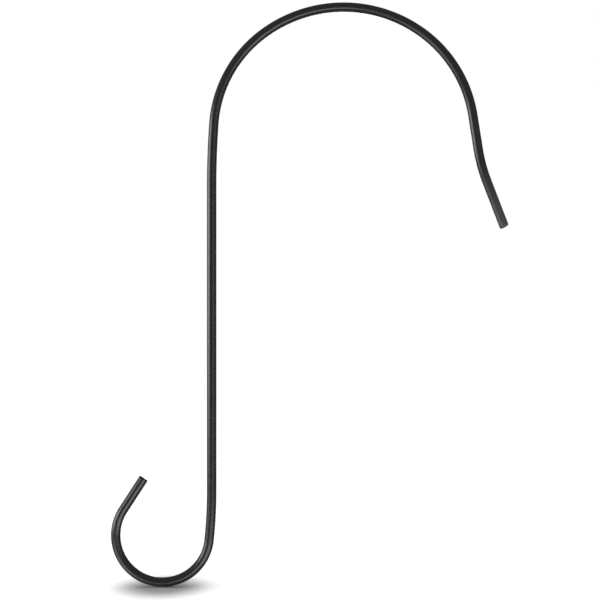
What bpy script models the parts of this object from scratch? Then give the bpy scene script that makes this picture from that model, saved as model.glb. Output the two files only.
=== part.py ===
"""Bird feeder hook: one round steel rod, bent to shape and powder coated black.

A wide arch lies over a branch. A straight stem hangs from its left side and ends in a small
round hook, the seat, which carries the feeder. The right side of the arch runs down into a short
tail that flares outwards, so that the arch slips easily over the branch.

The rod's axis lies in the XZ plane, with +Z up and +X from the stem towards the tail. The origin
is under the top of the arch, on the surface that rests on the branch. Sizes are in metres.
"""

import math

import bmesh
import bpy
from mathutils import Matrix, Vector

# The rod
ROD_DIAMETER = 0.00505
ROD_SIDES = 24

# How far the middle of a flat facet may lie inside the true round of a bend
FACET_DEPTH = 0.00004

# The arch, with the radius of each bend on the rod's axis, from its top down to the stem
CROWN_RADIUS = 0.0713
CROWN_TURN_TO_STEM = math.radians(38)
STEM_SHOULDER_RADIUS = 0.0649
RUN_IN_RADIUS = 0.470
RUN_IN_TURN = math.radians(4)

# The arch from its top down to the tail
CROWN_TURN_TO_TAIL = math.radians(34)
TAIL_SHOULDER_RADIUS = 0.0670
TAIL_SHOULDER_TURN = math.radians(47)
TAIL_DROP = 0.0180
FLARE_RADIUS = 0.0859
FLARE_TURN = math.radians(12)
TAIL_LENGTH = 0.0257

# The stem and the hook at its foot
STEM_LENGTH = 0.1615
RUN_OUT_RADIUS = 0.253
RUN_OUT_TURN = math.radians(6)
SEAT_RADIUS = 0.0248
TIP_LEAN = math.radians(33)
TIP_LENGTH = 0.0202

# The cuts. Each leans off square, through the flat of the hook by its skew and within it by its
# tilt, and has a rounded rim.
TAIL_CUT_SKEW = math.radians(12)
TAIL_CUT_TILT = math.radians(6)
TAIL_RIM = 0.00035
TIP_CUT_SKEW = math.radians(-4)
TIP_CUT_TILT = math.radians(-2)
TIP_RIM = 0.0008
RIM_STEPS = 2

# The stem hangs plumb, so the shoulder takes up what the other bends leave of a quarter turn
QUARTER_TURN = math.radians(90)
STEM_SHOULDER_TURN = QUARTER_TURN - CROWN_TURN_TO_STEM - RUN_IN_TURN
SEAT_TURN_TO_STEM = QUARTER_TURN - RUN_OUT_TURN
SEAT_TURN_TO_TIP = QUARTER_TURN + TIP_LEAN

# The rod's flats lie on its true round, and its corners stand just outside it
ROD_RADIUS = ROD_DIAMETER / 2
CORNER_RADIUS = ROD_RADIUS / math.cos(math.pi / ROD_SIDES)

# Coat
COAT_COLOR = (0.010, 0.011, 0.010, 1.0)
COAT_ROUGHNESS = 0.27
SMOOTH_BELOW = math.radians(40)

LEFT = 1
RIGHT = -1


def facet_turn(radius):
    """The turn of one flat facet of a bend that is as deep as it may be."""
    return 2 * math.acos(1 - FACET_DEPTH / radius)


class Arm:
    """A stretch of rod that grows from a loop of edges, as a bar grows out of a bending machine.

    place is the middle of the loop. heading is the way that the rod grows, in the XZ plane,
    counted from +X towards +Z.
    """

    def __init__(self, bm, loop, place, heading):
        self.bm = bm
        self.loop = loop
        self.place = place
        self.heading = heading

    def along(self):
        return Vector((math.cos(self.heading), 0, math.sin(self.heading)))

    def right(self):
        return Vector((math.sin(self.heading), 0, -math.cos(self.heading)))

    def loop_verts(self):
        return list({vert for edge in self.loop for vert in edge.verts})

    def straight(self, length):
        """Push out a straight length of rod."""
        old = set(self.loop_verts())
        grown = bmesh.ops.extrude_edge_only(self.bm, edges=self.loop)["geom"]
        verts = [item for item in grown if isinstance(item, bmesh.types.BMVert)]
        step = self.along() * length
        bmesh.ops.translate(self.bm, verts=verts, vec=step)
        edges = [item for item in grown if isinstance(item, bmesh.types.BMEdge)]
        self.loop = [edge for edge in edges if not old & set(edge.verts)]
        self.place = self.place + step

    def swing(self, side, radius, turn, steps):
        """Turn the rod's end to its left or right round the pin of a bend, in even steps."""
        to_centre = self.right() * -side * radius
        centre = self.place + to_centre
        spun = bmesh.ops.spin(
            self.bm,
            geom=self.loop,
            cent=centre,
            axis=(0, -1, 0),
            angle=side * turn,
            steps=steps,
        )
        self.loop = [item for item in spun["geom_last"] if isinstance(item, bmesh.types.BMEdge)]
        self.place = centre - Matrix.Rotation(side * turn, 3, (0, -1, 0)) @ to_centre
        self.heading += side * turn

    def bend(self, side, radius, turn):
        """A bend in facets that are all a little shallower than they may be."""
        self.swing(side, radius, turn, math.ceil(turn / facet_turn(radius)))

    def level_bend(self, side, radius, turn_before, turn_after):
        """A bend through level, where one facet lies flat for a load to hang from or rest on."""
        half = facet_turn(radius) / 2
        self.bend(side, radius, turn_before - half)
        self.swing(side, radius, 2 * half, 1)
        self.bend(side, radius, turn_after - half)

    def cut_off(self, skew, tilt, rim):
        """Close the end with a cut that faces -Y by its skew and the rod's left by its tilt."""
        slope = Vector((0, math.tan(skew), 0)) + self.right() * math.tan(tilt)
        for vert in self.loop_verts():
            vert.co += self.along() * slope.dot(vert.co - self.place)
        bmesh.ops.edgeloop_fill(self.bm, edges=self.loop)
        bmesh.ops.bevel(
            self.bm,
            geom=self.loop,
            offset=rim,
            segments=RIM_STEPS,
            profile=0.5,
            affect="EDGES",
        )


def first_loop(bm, centre, heading):
    """A loop of edges round the rod's axis on the crown, where the rod has this heading."""
    bmesh.ops.create_circle(bm, segments=ROD_SIDES, radius=CORNER_RADIUS)
    half_side = Matrix.Rotation(math.pi / ROD_SIDES, 4, "Z")
    upright = Matrix.Rotation(QUARTER_TURN, 4, (0, 1, 0))
    on_crown = Matrix.Translation((0, 0, CROWN_RADIUS))
    swung = Matrix.Rotation(heading, 4, (0, -1, 0))
    matrix = Matrix.Translation(centre) @ swung @ on_crown @ upright @ half_side
    bmesh.ops.transform(bm, matrix=matrix, verts=bm.verts)
    return list(bm.edges), matrix.to_translation()


def bent_rod_mesh():
    """The whole rod, grown from the crown both ways."""
    bm = bmesh.new()
    half = facet_turn(CROWN_RADIUS) / 2
    underside = (CROWN_RADIUS - ROD_RADIUS) * math.cos(half)
    loop, place = first_loop(bm, Vector((0, 0, -underside)), -half)

    tail = Arm(bm, loop, place, -half)
    tail.bend(RIGHT, CROWN_RADIUS, CROWN_TURN_TO_TAIL - half)
    tail.bend(RIGHT, TAIL_SHOULDER_RADIUS, TAIL_SHOULDER_TURN)
    tail.straight(TAIL_DROP)
    tail.bend(LEFT, FLARE_RADIUS, FLARE_TURN)
    tail.straight(TAIL_LENGTH)
    tail.cut_off(TAIL_CUT_SKEW, TAIL_CUT_TILT, TAIL_RIM)

    stem = Arm(bm, loop, place, math.pi - half)
    stem.swing(LEFT, CROWN_RADIUS, 2 * half, 1)
    stem.bend(LEFT, CROWN_RADIUS, CROWN_TURN_TO_STEM - half)
    stem.bend(LEFT, STEM_SHOULDER_RADIUS, STEM_SHOULDER_TURN)
    stem.bend(LEFT, RUN_IN_RADIUS, RUN_IN_TURN)
    stem.straight(STEM_LENGTH)
    stem.bend(RIGHT, RUN_OUT_RADIUS, RUN_OUT_TURN)
    stem.level_bend(RIGHT, SEAT_RADIUS, SEAT_TURN_TO_STEM, SEAT_TURN_TO_TIP)
    stem.straight(TIP_LENGTH)
    stem.cut_off(TIP_CUT_SKEW, TIP_CUT_TILT, TIP_RIM)

    bmesh.ops.recalc_face_normals(bm, faces=bm.faces)
    mesh = bpy.data.meshes.new("bent_rod")
    bm.to_mesh(mesh)
    bm.free()
    mesh.shade_smooth()
    mesh.set_sharp_from_angle(angle=SMOOTH_BELOW)
    return mesh


def powder_coat():
    """Black polyester powder coat with a satin sheen."""
    material = bpy.data.materials.new("black_powder_coat")
    material.use_nodes = True
    shader = material.node_tree.nodes["Principled BSDF"]
    shader.inputs["Base Color"].default_value = COAT_COLOR
    shader.inputs["Roughness"].default_value = COAT_ROUGHNESS
    shader.inputs["Metallic"].default_value = 0
    return material


def clear_scene():
    for obj in list(bpy.data.objects):
        bpy.data.objects.remove(obj, do_unlink=True)


def main():
    clear_scene()
    rod = bpy.data.objects.new("bent_rod", bent_rod_mesh())
    rod.data.materials.append(powder_coat())
    bpy.context.scene.collection.objects.link(rod)


main()
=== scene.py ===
"""Bird feeder hook: its looks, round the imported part.

The hook is one steel rod, bent to shape and powder coated black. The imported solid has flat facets,
so this script makes the coated rod again as a smooth round surface on the same axis: the wide arch
that lies over a branch, the stem, the small hook that carries the feeder, and the flared tail.
Lengths are in metres and angles in radians, in the part's own frame: +Z up, +X from the stem
towards the tail, and the rod's axis in the XZ plane.
"""

import itertools
import math

import bmesh
import bpy
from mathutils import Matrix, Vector, noise


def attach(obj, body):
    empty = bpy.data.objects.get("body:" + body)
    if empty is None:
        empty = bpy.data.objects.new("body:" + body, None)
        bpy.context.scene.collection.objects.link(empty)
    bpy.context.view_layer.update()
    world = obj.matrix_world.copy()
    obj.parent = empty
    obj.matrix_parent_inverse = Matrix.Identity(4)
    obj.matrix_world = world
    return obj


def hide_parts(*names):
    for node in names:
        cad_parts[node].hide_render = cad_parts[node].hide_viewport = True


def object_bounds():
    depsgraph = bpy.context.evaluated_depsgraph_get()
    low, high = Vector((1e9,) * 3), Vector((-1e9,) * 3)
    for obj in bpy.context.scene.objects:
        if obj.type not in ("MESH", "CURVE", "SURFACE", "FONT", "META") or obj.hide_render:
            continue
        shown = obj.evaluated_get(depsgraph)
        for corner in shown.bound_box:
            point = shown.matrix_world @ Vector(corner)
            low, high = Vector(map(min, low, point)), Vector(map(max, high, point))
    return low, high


# The rod
ROD_DIAMETER = 0.00505
ROD_RADIUS = ROD_DIAMETER / 2
ROD_SIDES = 64
SLICE_SPACING = 0.0006

# The solid's arch rests on a flat facet, which lies this far inside the true round of the bend
ARCH_LIFT = 0.00004

# The arch, with the radius of each bend on the rod's axis, from its top down to the stem
CROWN_RADIUS = 0.0713
CROWN_TURN_TO_STEM = math.radians(38)
STEM_SHOULDER_RADIUS = 0.0649
STEM_SHOULDER_TURN = math.radians(48)
RUN_IN_RADIUS = 0.470
RUN_IN_TURN = math.radians(4)

# The arch from its top down to the tail
CROWN_TURN_TO_TAIL = math.radians(34)
TAIL_SHOULDER_RADIUS = 0.0670
TAIL_SHOULDER_TURN = math.radians(47)
TAIL_DROP = 0.0180
FLARE_RADIUS = 0.0859
FLARE_TURN = math.radians(12)
TAIL_LENGTH = 0.0257

# The stem and the hook at its foot
STEM_LENGTH = 0.1615
RUN_OUT_RADIUS = 0.253
RUN_OUT_TURN = math.radians(6)
SEAT_RADIUS = 0.0248
SEAT_TURN = math.radians(207)
TIP_LENGTH = 0.0202

# The two cut ends, each made over the last CUT_REACH of the rod. A bar shear rolls the rim over
# where its blade goes in, and leaves it crisp where the steel breaks away. The face is smooth
# beside the rolled rim and broken beyond it, and it leans off square: through the flat of the hook
# by its skew, and within it by its tilt.
TAIL_CUT_SKEW = math.radians(12)
TAIL_CUT_TILT = math.radians(6)
TIP_CUT_SKEW = math.radians(-4)
TIP_CUT_TILT = math.radians(2)
CUT_REACH = 0.0015
WALL_STEPS = 3
RIM_STEPS = 6
FACE_STEPS = 9
TAIL_ROLLED_AT = 0
TAIL_ROLLED_RIM = 0.00060
TAIL_CRISP_RIM = 0.00014
TIP_ROLLED_AT = math.radians(80)
TIP_ROLLED_RIM = 0.00120
TIP_CRISP_RIM = 0.00050
BREAK_DEPTH = 0.00005
BREAK_ROUGHNESS = 0.00002
BREAK_PITCH = 0.0007
SMOOTH_SHARE = 0.3

# The coat's slow swells, left as it flowed out in the oven
SWELL_DEPTH = 0.000015
SWELL_PITCH = 0.0042

# The map for the coat: strips of the rod's side above each other, with the two ends beside them
MAP_NAME = "OFBake"
STRIPS = 6
MAP_GAP = 0.0008

# The coat's finer relief and its colours
PEEL_PITCH = 0.0016
PEEL_DEPTH = 0.000007
GRAIN_PITCH = 0.00035
GRAIN_DEPTH = 0.0000008
SHEEN_PITCH = 0.0035
THICK_COAT = "#171918"
THIN_COAT = "#1C1F1D"
# The lighter colour that the rod turns to towards the tail's cut end, and how far from that end it
# starts
TAIL_END_TONE = "#3C3F3B"
TAIL_LIGHTER_REACH = 0.037
COAT_IOR = 1.5
COAT_ROUGHNESS_LOW = 0.23
COAT_ROUGHNESS_HIGH = 0.31

# The middle range of a noise texture's values, and the sockets of a colour Mix node
NOISE_LOW = 0.3
NOISE_HIGH = 0.7
MIX_FIRST = 6
MIX_SECOND = 7
MIX_RESULT = 2

# Camera, placed by where the underside of the arch's top shows in the photo
PHOTO_SIDE_PX = 600
ARCH_TOP_PX = (343.45, 12.05)
PIXEL = 0.00053
CAMERA_DISTANCE = 0.760
SENSOR_WIDTH_MM = 36.0

# Studio. Glows are shares of the background's white, and a soft box takes about WATTS_PER_GLOW
# watts on a square metre for each.
HOOK_MIDDLE = Vector((-0.02, 0, -0.15))
WATTS_PER_GLOW = 4
FLOOR_SIDE = 8.0
TENT_REACH = 2.5
STUDIO_LIGHT = "#F8FFFA"
TENT_GLOW = 0.2
KEY_GLOW = 4.5
TABLE_GLOW = 2.5
NEAR_TABLE_GLOW = 4.0
SCREEN_GLOW = 1.5
SHADE_CORE = 0.008
SHADE_EDGE = 0.032
SHADE_STRETCH = 1.25
SHADE_DEPTH = 0.3

LEFT = 1
RIGHT = -1
FRONT = Vector((0, -1, 0))
QUARTER_TURN = math.radians(90)


def straight(length):
    """A stretch of rod with no bend, as its curvature and length."""
    return 0.0, length


def bend(side, radius, turn):
    """A stretch of rod in an even bend, as its curvature and length."""
    return side / radius, radius * turn


# Both arms of the rod, from the top of the arch to where their cut ends start
TAIL_ARM = (
    bend(RIGHT, CROWN_RADIUS, CROWN_TURN_TO_TAIL),
    bend(RIGHT, TAIL_SHOULDER_RADIUS, TAIL_SHOULDER_TURN),
    straight(TAIL_DROP),
    bend(LEFT, FLARE_RADIUS, FLARE_TURN),
    straight(TAIL_LENGTH - CUT_REACH),
)
STEM_ARM = (
    bend(LEFT, CROWN_RADIUS, CROWN_TURN_TO_STEM),
    bend(LEFT, STEM_SHOULDER_RADIUS, STEM_SHOULDER_TURN),
    bend(LEFT, RUN_IN_RADIUS, RUN_IN_TURN),
    straight(STEM_LENGTH),
    bend(RIGHT, RUN_OUT_RADIUS, RUN_OUT_TURN),
    bend(RIGHT, SEAT_RADIUS, SEAT_TURN),
    straight(TIP_LENGTH - CUT_REACH),
)


class Slice:
    """A slice across the rod: its middle, and the way that the rod runs there."""

    def __init__(self, place, heading):
        self.place = place
        self.heading = heading
        self.along = Vector((math.cos(heading), 0, math.sin(heading)))
        self.outward = Vector((-math.sin(heading), 0, math.cos(heading)))

    def further(self, curvature, distance):
        """The slice that lies a distance further along an even bend."""
        turn = curvature * distance
        chord = 2 * math.sin(turn / 2) / curvature if curvature else distance
        halfway = self.heading + turn / 2
        step = Vector((math.cos(halfway), 0, math.sin(halfway))) * chord
        return Slice(self.place + step, self.heading + turn)

    def turned_back(self):
        """The same slice, for the way back along the rod."""
        return Slice(self.place, self.heading + math.pi)

    def point(self, angle, radius, lead=0.0):
        """A point at an angle round the axis, this far from it and this far ahead of the slice."""
        across = self.outward * math.cos(angle) + FRONT * math.sin(angle)
        return self.place + across * radius + self.along * lead


def slices_along(arm, start):
    """Slices at even steps along each stretch of an arm, and one at its end."""
    slices = []
    for curvature, length in arm:
        steps = math.ceil(length / SLICE_SPACING)
        for step in range(steps):
            slices.append(start.further(curvature, length * step / steps))
        start = start.further(curvature, length)
    return slices + [start]


def whole_rod():
    """Slices along the whole rod, from the tail's end over the arch to the tip of the hook."""
    top = Vector((0, 0, ROD_RADIUS + ARCH_LIFT))
    to_tail = slices_along(TAIL_ARM, Slice(top, 0))
    to_stem = slices_along(STEM_ARM, Slice(top, math.pi))
    return [rod_slice.turned_back() for rod_slice in reversed(to_tail[1:])] + to_stem


class CutEnd:
    """A cut end of the rod. facing is 1 where the rod's slices run towards the end, and else -1.

    rolled_at is the angle round the rod at which its rim is rolled over the most.
    """

    def __init__(self, start, facing, lean, rolled_at, rims):
        skew, tilt = lean
        self.rolled_rim, self.crisp_rim = rims
        self.end = start.further(0, facing * CUT_REACH)
        self.facing = facing
        self.skew_slope = math.tan(skew)
        self.tilt_slope = math.tan(tilt)
        self.rolled_at = rolled_at

    def rim(self, angle):
        """The rim's radius here, between crisp and rolled."""
        share = (1 + math.cos(angle - self.rolled_at)) / 2
        return self.crisp_rim + (self.rolled_rim - self.crisp_rim) * share

    def stands_ahead(self, angle, radius):
        """How far the leaning face stands ahead of a square cut."""
        return radius * (self.tilt_slope * math.cos(angle) - self.skew_slope * math.sin(angle))

    def break_below(self, angle, radius):
        """How far the broken part of the face lies below its smooth part."""
        towards_roll = radius * math.cos(angle - self.rolled_at) / ROD_RADIUS
        share = min(max((SMOOTH_SHARE - towards_roll) / SMOOTH_SHARE, 0.0), 1.0)
        eased = share * share * (3 - 2 * share)
        spot = self.end.point(angle, radius) / BREAK_PITCH
        return eased * (BREAK_DEPTH + BREAK_ROUGHNESS * noise.noise(spot))

    def outline(self, angle):
        """Radius and lead of the points from the rod's side, over the rim, to near the middle."""
        rim = self.rim(angle)
        points = []
        for step in range(1, WALL_STEPS + 1):
            share = step / WALL_STEPS
            rim_start = self.stands_ahead(angle, ROD_RADIUS) - rim
            points.append((ROD_RADIUS, share * rim_start - (1 - share) * CUT_REACH))
        for step in range(1, RIM_STEPS + 1):
            roll = QUARTER_TURN * step / RIM_STEPS
            radius = ROD_RADIUS - rim * (1 - math.cos(roll))
            points.append((radius, self.stands_ahead(angle, radius) - rim * (1 - math.sin(roll))))
        for step in range(1, FACE_STEPS):
            share = 1 - step / FACE_STEPS
            radius = (ROD_RADIUS - rim) * share
            below = self.break_below(angle, radius) * (1 - share**4)
            points.append((radius, self.stands_ahead(angle, radius) - below))
        return points


def angle_of(side):
    return math.tau * side / ROD_SIDES


class CoatedRod:
    """The rod's surface, made ring by ring, with its place on the map."""

    def __init__(self, slices):
        self.bm = bmesh.new()
        self.map = self.bm.loops.layers.uv.new(MAP_NAME)
        gaps = [(b.place - a.place).length for a, b in itertools.pairwise(slices)]
        self.distances = list(itertools.accumulate(gaps, initial=0.0))
        self.strip_slices = math.ceil(len(gaps) / STRIPS)
        self.strip_length = max(gaps) * self.strip_slices
        self.strip_pitch = math.tau * ROD_RADIUS + MAP_GAP
        self.end_reach = ROD_RADIUS + 2 * CUT_REACH
        self.map_side = self.strip_length + 2 * self.end_reach + 2 * MAP_GAP
        self.rings = [self.ring(rod_slice) for rod_slice in slices]
        for index in range(len(gaps)):
            self.side_faces(index)

    def ring(self, rod_slice):
        points = [rod_slice.point(angle_of(side), ROD_RADIUS) for side in range(ROD_SIDES)]
        return [self.bm.verts.new(point) for point in points]

    def face(self, corners):
        """A face from its corners, each a point with its place on the map in metres."""
        face = self.bm.faces.new([vert for vert, _ in corners])
        for loop, (_, (across, up)) in zip(face.loops, corners):
            loop[self.map].uv = (across / self.map_side, up / self.map_side)

    def side_faces(self, index):
        """The faces between one ring and the next, on their strip of the map."""
        strip, _ = divmod(index, self.strip_slices)
        strip_start = self.distances[strip * self.strip_slices]
        near, far = self.rings[index], self.rings[index + 1]
        across_near = self.distances[index] - strip_start
        across_far = self.distances[index + 1] - strip_start
        for side in range(ROD_SIDES):
            after = (side + 1) % ROD_SIDES
            up = strip * self.strip_pitch + ROD_RADIUS * angle_of(side)
            up_after = up + ROD_RADIUS * angle_of(1)
            self.face(
                (
                    (near[side], (across_near, up)),
                    (near[after], (across_near, up_after)),
                    (far[after], (across_far, up_after)),
                    (far[side], (across_far, up)),
                )
            )

    def close(self, cut, ring, row):
        """Close one end from its last ring, on a disc beside the strips in this row."""
        middle_across = self.strip_length + MAP_GAP + self.end_reach
        middle_up = self.end_reach + row * (2 * self.end_reach + MAP_GAP)
        outlines = [cut.outline(angle_of(side)) for side in range(ROD_SIDES)]
        rings = [ring]
        for points in zip(*outlines):
            rings.append([self.end_vert(cut, side, *point) for side, point in enumerate(points)])
        middle = self.bm.verts.new(cut.end.point(0, 0, -cut.facing * cut.break_below(0, 0)))
        steps = len(rings)

        def corner(step, side):
            reach = self.end_reach * (steps - step) / steps
            angle = angle_of(side)
            place = (
                middle_across + reach * math.cos(angle),
                middle_up + cut.facing * reach * math.sin(angle),
            )
            vert = middle if step == steps else rings[step][side % ROD_SIDES]
            return vert, place

        for step in range(steps):
            for side in range(ROD_SIDES):
                corners = [corner(step, side), corner(step, side + 1), corner(step + 1, side + 1)]
                if step + 1 < steps:
                    corners.append(corner(step + 1, side))
                self.face(corners if cut.facing > 0 else corners[::-1])

    def end_vert(self, cut, side, radius, lead):
        return self.bm.verts.new(cut.end.point(angle_of(side), radius, cut.facing * lead))

    def swell(self):
        """Let the coat stand proud or thin by its slow swells."""
        self.bm.normal_update()
        for vert in self.bm.verts:
            vert.co += vert.normal * SWELL_DEPTH * noise.noise(vert.co / SWELL_PITCH)

    def finished(self, name):
        """The surface as a mesh, shaded smooth."""
        mesh = bpy.data.meshes.new(name)
        self.bm.to_mesh(mesh)
        self.bm.free()
        mesh.shade_smooth()
        return mesh


def coated_rod():
    """The hook itself: the smooth round rod with both cut ends."""
    slices = whole_rod()
    rod = CoatedRod(slices)
    tail_lean = TAIL_CUT_SKEW, TAIL_CUT_TILT
    tail_rims = TAIL_ROLLED_RIM, TAIL_CRISP_RIM
    tip_lean = TIP_CUT_SKEW, TIP_CUT_TILT
    tip_rims = TIP_ROLLED_RIM, TIP_CRISP_RIM
    tail_cut = CutEnd(slices[0], -1, tail_lean, TAIL_ROLLED_AT, tail_rims)
    tip_cut = CutEnd(slices[-1], 1, tip_lean, TIP_ROLLED_AT, tip_rims)
    rod.close(tail_cut, rod.rings[0], 0)
    rod.close(tip_cut, rod.rings[-1], 1)
    rod.swell()
    piece = bpy.data.objects.new("coated_rod", rod.finished("coated_rod"))
    bpy.context.scene.collection.objects.link(piece)
    piece.data.materials.append(black_powder_coat(tail_cut.end.place))
    return piece


def linear(hex_colour):
    """An sRGB hex colour as linear red, green, blue and alpha."""
    channels = [int(hex_colour[place : place + 2], 16) / 255 for place in (1, 3, 5)]
    curve = [c / 12.92 if c <= 0.04045 else ((c + 0.055) / 1.055) ** 2.4 for c in channels]
    return (*curve, 1.0)


def new_material(name):
    """A material with an empty node tree and its output."""
    material = bpy.data.materials.new(name)
    material.use_nodes = True
    material.node_tree.nodes.clear()
    return material, add(material.node_tree, "ShaderNodeOutputMaterial")


def add(tree, kind, settings=None, **inputs):
    """Add a node with its settings. Each input is a value or the socket that drives it."""
    node = tree.nodes.new(kind)
    for name, value in (settings or {}).items():
        setattr(node, name, value)
    for name, value in inputs.items():
        socket = node.inputs[name.replace("_", " ")]
        if isinstance(value, bpy.types.NodeSocket):
            tree.links.new(value, socket)
        else:
            socket.default_value = value
    return node


def black_powder_coat(tail_end):
    """Polyester powder coat on steel, sprayed dry and baked. It is a deep black with a satin skin,
    and as it flowed out it kept a faint orange peel, so the bands of sheen along the rod have soft,
    slightly uneven edges. Where the coat is thin the black is a shade lighter, and over the last
    stretch towards the tail's cut end the colour turns lighter still."""
    material, output = new_material("black_powder_coat")
    tree = material.node_tree
    place = add(tree, "ShaderNodeTexCoord").outputs["Object"]

    film = add(tree, "ShaderNodeTexNoise", Vector=place, Scale=1 / SHEEN_PITCH, Detail=2.0)
    colour = add(tree, "ShaderNodeMix", {"data_type": "RGBA"})
    tree.links.new(film.outputs["Fac"], colour.inputs["Factor"])
    colour.inputs[MIX_FIRST].default_value = linear(THICK_COAT)
    colour.inputs[MIX_SECOND].default_value = linear(THIN_COAT)

    # The colour turns lighter over the last stretch towards the tail's cut end
    from_end = add(tree, "ShaderNodeVectorMath", {"operation": "DISTANCE"})
    tree.links.new(place, from_end.inputs[0])
    from_end.inputs[1].default_value = tail_end
    towards_tail_end = add(
        tree,
        "ShaderNodeMapRange",
        Value=from_end.outputs["Value"],
        From_Min=TAIL_LIGHTER_REACH,
        From_Max=0.0,
        To_Min=0.0,
        To_Max=1.0,
    )
    tail_lightened = add(tree, "ShaderNodeMix", {"data_type": "RGBA"})
    tree.links.new(towards_tail_end.outputs["Result"], tail_lightened.inputs["Factor"])
    tree.links.new(colour.outputs[MIX_RESULT], tail_lightened.inputs[MIX_FIRST])
    tail_lightened.inputs[MIX_SECOND].default_value = linear(TAIL_END_TONE)

    sheen = add(tree, "ShaderNodeTexNoise", Vector=place, Scale=1 / PEEL_PITCH, Detail=3.0)
    roughness = add(
        tree,
        "ShaderNodeMapRange",
        Value=sheen.outputs["Fac"],
        From_Min=NOISE_LOW,
        From_Max=NOISE_HIGH,
        To_Min=COAT_ROUGHNESS_LOW,
        To_Max=COAT_ROUGHNESS_HIGH,
    )

    peel = add(tree, "ShaderNodeTexNoise", Vector=place, Scale=1 / PEEL_PITCH, Detail=1.0)
    grain = add(tree, "ShaderNodeTexNoise", Vector=place, Scale=1 / GRAIN_PITCH, Detail=0.0)
    peel_relief = add(tree, "ShaderNodeBump", Distance=PEEL_DEPTH, Height=peel.outputs["Fac"])
    relief = add(
        tree,
        "ShaderNodeBump",
        Distance=GRAIN_DEPTH,
        Height=grain.outputs["Fac"],
        Normal=peel_relief.outputs["Normal"],
    )

    shader = add(
        tree,
        "ShaderNodeBsdfPrincipled",
        Base_Color=tail_lightened.outputs[MIX_RESULT],
        Roughness=roughness.outputs["Result"],
        Normal=relief.outputs["Normal"],
        Metallic=0.0,
        IOR=COAT_IOR,
    )
    tree.links.new(shader.outputs["BSDF"], output.inputs["Surface"])
    return material


def rectangle(name, middle, facing, width, height, material):
    """A flat sheet that faces one way, with its width level, set up as part of the studio."""
    bm = bmesh.new()
    for x, y in ((-0.5, -0.5), (0.5, -0.5), (0.5, 0.5), (-0.5, 0.5)):
        bm.verts.new((x * width, y * height, 0))
    bm.faces.new(bm.verts)
    mesh = bpy.data.meshes.new(name)
    bm.to_mesh(mesh)
    bm.free()
    mesh.materials.append(material)
    sheet = bpy.data.objects.new(name, mesh)
    sheet.location = middle
    sheet.rotation_euler = Vector(facing).to_track_quat("Z", "Y").to_euler()
    bpy.context.scene.collection.objects.link(sheet)
    return sheet


def white_sweep(under_seat):
    """Matte white paper. Under the seat it carries the pool of soft shade that the photo shows
    there, a blunt oval that fades out evenly all round. From below the paper isn't seen."""
    material, output = new_material("white_sweep")
    tree = material.node_tree
    surface = add(tree, "ShaderNodeNewGeometry")
    oval = add(
        tree,
        "ShaderNodeMapping",
        {"vector_type": "TEXTURE"},
        Vector=surface.outputs["Position"],
        Location=under_seat,
        Scale=(1, SHADE_STRETCH, 1),
    )
    distance = add(
        tree,
        "ShaderNodeVectorMath",
        {"operation": "LENGTH"},
        Vector=oval.outputs["Vector"],
    )
    tone = add(
        tree,
        "ShaderNodeMapRange",
        {"interpolation_type": "SMOOTHSTEP"},
        Value=distance.outputs["Value"],
        From_Min=SHADE_CORE,
        From_Max=SHADE_EDGE,
        To_Min=SHADE_DEPTH,
        To_Max=1.0,
    )
    paper = add(tree, "ShaderNodeBsdfDiffuse", Color=tone.outputs["Result"])
    unseen = add(tree, "ShaderNodeBsdfTransparent")
    one_sided = add(tree, "ShaderNodeMixShader", Fac=surface.outputs["Backfacing"])
    tree.links.new(paper.outputs["BSDF"], one_sided.inputs[1])
    tree.links.new(unseen.outputs["BSDF"], one_sided.inputs[2])
    tree.links.new(one_sided.outputs["Shader"], output.inputs["Surface"])
    return material


def glowing_card(name, glow):
    """A card of one even tone, as it shows in the coat."""
    material, output = new_material(name)
    emission = add(
        material.node_tree,
        "ShaderNodeEmission",
        Color=linear(STUDIO_LIGHT),
        Strength=glow,
    )
    material.node_tree.links.new(emission.outputs["Emission"], output.inputs["Surface"])
    return material


def reflected_only(sheet):
    """Let a sheet show only as a reflection."""
    sheet.visible_camera = False
    sheet.visible_diffuse = False
    sheet.visible_transmission = False
    sheet.visible_volume_scatter = False
    sheet.visible_shadow = False


def from_hook(azimuth, elevation, distance):
    """A place seen from the hook's middle. The azimuth is counted from the photographer's side
    towards +X, and both angles are in degrees."""
    azimuth = math.radians(azimuth)
    elevation = math.radians(elevation)
    level = distance * math.cos(elevation)
    offset = (level * math.sin(azimuth), -level * math.cos(azimuth), distance * math.sin(elevation))
    return HOOK_MIDDLE + Vector(offset)


def soft_box(name, middle, width, height, glow):
    """A soft box that faces the hook."""
    lamp = bpy.data.lights.new(name, "AREA")
    lamp.shape = "RECTANGLE"
    lamp.size = width
    lamp.size_y = height
    lamp.energy = WATTS_PER_GLOW * width * height * glow
    lamp.color = linear(STUDIO_LIGHT)[:3]
    box = bpy.data.objects.new(name, lamp)
    box.location = middle
    box.rotation_euler = (middle - HOOK_MIDDLE).to_track_quat("Z", "Y").to_euler()
    box.visible_camera = False
    bpy.context.scene.collection.objects.link(box)


def white_world():
    """Plain white light from all round, which is also the white background."""
    world = bpy.data.worlds.new("white_studio")
    world.use_nodes = True
    background = world.node_tree.nodes["Background"]
    background.inputs["Color"].default_value = (1, 1, 1, 1)
    background.inputs["Strength"].default_value = 1.0
    bpy.context.scene.world = world


def grey_tent():
    """Even grey cloth on all sides, which keeps the coat's reflections dim between the lights."""
    cloth = glowing_card("grey_tent", TENT_GLOW)
    side = 2 * TENT_REACH
    for name, facing in (
        ("tent_left", (1, 0, 0)),
        ("tent_right", (-1, 0, 0)),
        ("tent_front", (0, 1, 0)),
        ("tent_back", (0, -1, 0)),
        ("tent_below", (0, 0, 1)),
        ("tent_above", (0, 0, -1)),
    ):
        middle = HOOK_MIDDLE - Vector(facing) * TENT_REACH
        reflected_only(rectangle(name, middle, facing, side, side, cloth))


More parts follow.
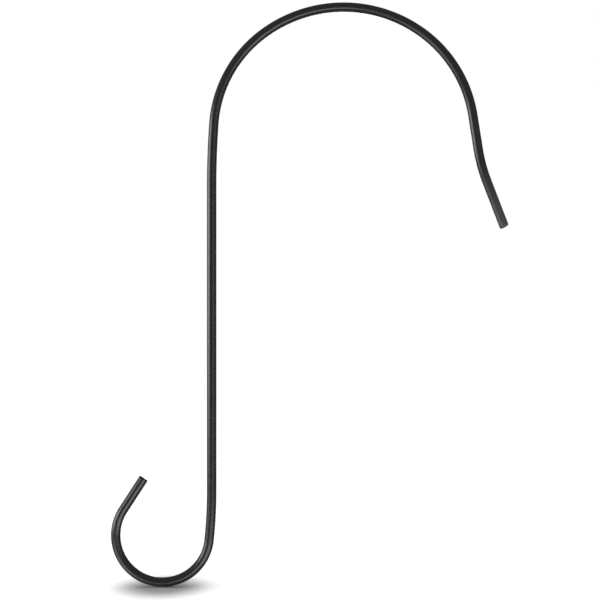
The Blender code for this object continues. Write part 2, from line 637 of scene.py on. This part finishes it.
def key_light():
    """One wide soft box at the left, which gives the bright band down that side of the rod."""
    soft_box("key", from_hook(-75, 5, 1.6), 1.4, 0.7, KEY_GLOW)


def reflector_cards():
    """The bright table in front of the hook, a screen at its right and one behind it. Each is given
    by its azimuth, elevation and distance from the hook, its width, its height and its glow."""
    for name, azimuth, elevation, distance, width, height, glow in (
        ("table_left", -50, -35, 1.6, 1.6, 1.0, TABLE_GLOW),
        ("table_right", 30, -30, 1.5, 1.8, 0.7, NEAR_TABLE_GLOW),
        ("screen_right", 45, 0, 1.8, 1.2, 0.5, SCREEN_GLOW),
        ("screen_back", 180, 0, 1.8, 0.4, 1.2, KEY_GLOW),
    ):
        middle = from_hook(azimuth, elevation, distance)
        facing = HOOK_MIDDLE - middle
        card = rectangle(name, middle, facing, width, height, glowing_card(name, glow))
        reflected_only(card)


def studio(under_seat):
    """White all round, with the key light at the left."""
    white_world()
    paper = white_sweep(under_seat)
    floor_middle = (0, 0, under_seat.z)
    floor = rectangle("floor", floor_middle, (0, 0, 1), FLOOR_SIDE, FLOOR_SIDE, paper)
    floor.visible_glossy = False
    grey_tent()
    key_light()
    reflector_cards()


def camera():
    lens_data = bpy.data.cameras.new("camera")
    lens_data.sensor_width = SENSOR_WIDTH_MM
    lens_data.lens = SENSOR_WIDTH_MM * CAMERA_DISTANCE / (PHOTO_SIDE_PX * PIXEL)
    view = bpy.data.objects.new("camera", lens_data)
    across_px, down_px = ARCH_TOP_PX
    middle_px = PHOTO_SIDE_PX / 2
    view.location = (
        (middle_px - across_px) * PIXEL,
        -CAMERA_DISTANCE,
        (down_px - middle_px) * PIXEL,
    )
    view.rotation_euler = (QUARTER_TURN, 0, 0)
    bpy.context.scene.collection.objects.link(view)
    bpy.context.scene.camera = view


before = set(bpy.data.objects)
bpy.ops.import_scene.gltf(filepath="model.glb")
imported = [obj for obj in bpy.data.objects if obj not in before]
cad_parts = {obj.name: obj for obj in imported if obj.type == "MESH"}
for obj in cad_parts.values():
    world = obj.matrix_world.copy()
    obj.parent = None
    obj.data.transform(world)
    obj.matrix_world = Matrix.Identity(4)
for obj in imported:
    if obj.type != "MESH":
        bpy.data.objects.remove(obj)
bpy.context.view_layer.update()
bpy.context.scene.view_settings.view_transform = "Standard"

hook = coated_rod()
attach(hook, "root")
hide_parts("bent_rod")

lowest_corner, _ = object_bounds()
seat = min(whole_rod(), key=lambda rod_slice: rod_slice.place.z)
studio(Vector((seat.place.x, 0, lowest_corner[2])))
camera()
